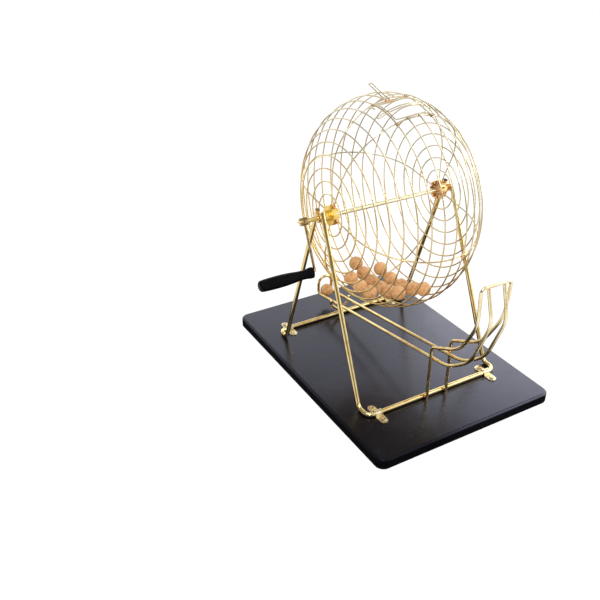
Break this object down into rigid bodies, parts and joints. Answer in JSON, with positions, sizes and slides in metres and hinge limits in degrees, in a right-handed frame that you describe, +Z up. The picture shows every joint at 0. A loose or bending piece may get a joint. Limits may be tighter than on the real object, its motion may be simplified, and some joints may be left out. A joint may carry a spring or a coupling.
{
  "type": "raffle drum",
  "caption": "Wire ball cage on an axle with a hand crank, between bent-rod stands on a board, with a wire scoop and chute that deliver one ball.",
  "frame": {"origin": "middle of the board's underside, on the table", "axes": "+X along the axle away from the crank, +Y from the scoop towards the arch at the rear, +Z up"},
  "size_m": [0.2779, 0.3281, 0.318],
  "materials": {
    "black_lacquer": "high-gloss black lacquer over wood",
    "brass_rod": "polished brass plating on drawn rod",
    "brass_wire": "polished brass plating on fine wire",
    "brass_sheet": "bright pale brass plating on sheet",
    "brass_screw": "bright pale brass plating, cross recess",
    "cast_brass": "yellow brass, satin",
    "crank_brass": "brass plating, slightly dulled",
    "black_grip": "black moulded plastic, semi-gloss",
    "ball_wood": "bare turned wood, fine grain"
  },
  "bodies": {
    "stand": {"base_board": "black_lacquer", "chute_wire": "brass_rod", "clip_screws": "brass_screw", "front_left_clip": "brass_sheet", "front_right_clip": "brass_sheet", "front_stand_rod": "brass_rod", "left_bearing": "brass_rod", "rear_chute_rest": "brass_rod", "rear_left_clip": "brass_sheet", "rear_right_clip": "brass_sheet", "rear_stand_rod": "brass_rod", "right_bearing": "brass_rod", "scoop_wire": "brass_rod"},
    "drum": {"axle": "brass_rod", "cage_meridian_1": "brass_wire", "cage_meridian_2": "brass_wire", "cage_meridian_3": "brass_wire", "cage_ring_01": "brass_wire", "cage_ring_02": "brass_wire", "cage_ring_03": "brass_wire", "cage_ring_04": "brass_wire", "cage_ring_05": "brass_wire", "cage_ring_06": "brass_wire", "cage_ring_07": "brass_wire", "cage_ring_08": "brass_wire", "cage_ring_09": "brass_wire", "cage_ring_10": "brass_wire", "cage_ring_11": "brass_wire", "cage_ring_12": "brass_wire", "cage_ring_13": "brass_wire", "cage_ring_14": "brass_wire", "cage_ring_15": "brass_wire", "cage_ring_16": "brass_wire", "cage_ring_17": "brass_wire", "cage_ring_18": "brass_wire", "cage_ring_19": "brass_wire", "cage_ring_20": "brass_wire", "cage_ring_21": "brass_wire", "cotter_pin": "crank_brass", "crank_arm": "crank_brass", "crank_collar": "crank_brass", "hatch_front_meridian": "brass_wire", "hatch_hinge_rod": "brass_wire", "hatch_rear_meridian": "brass_wire", "left_hub": "cast_brass", "right_hub": "cast_brass"},
    "grip": {"crank_grip": "black_grip"},
    "hatch": {"hatch_door_frame": "brass_wire", "hatch_finger_lever": "brass_wire", "hatch_latch_bar": "brass_wire", "hatch_sleeve": "brass_wire"},
    "ball_load": {"drum_balls": "ball_wood"},
    "chute_ball": {"chute_ball": "ball_wood"}
  },
  "joints": [
    {"name": "drum_turn", "type": "hinge", "parent": "stand", "child": "drum", "pos_m": [0, 0.0113, 0.1982], "axis": [1, 0, 0], "continuous": true},
    {"name": "grip_turn", "type": "hinge", "parent": "drum", "child": "grip", "pos_m": [-0.135, -0.0106, 0.15081], "axis": [1, 0, 0], "continuous": true},
    {"name": "hatch_swing", "type": "hinge", "parent": "drum", "child": "hatch", "pos_m": [-0.00634, 0.00873, 0.30721], "axis": [-0.9957, 0.0022, -0.0929], "range_deg": [0, 25], "stiffness_Nm_per_rad": 0.002, "springref_deg": -20.05},
    {"name": "load_swing", "type": "hinge", "parent": "stand", "child": "ball_load", "pos_m": [0, 0.0113, 0.1982], "axis": [1, 0, 0], "range_deg": [-25, 25]},
    {"name": "ball_roll", "type": "slide", "parent": "stand", "child": "chute_ball", "axis": [0, -0.9874, 0.158], "range_m": [0, 0.22]}
  ]
}
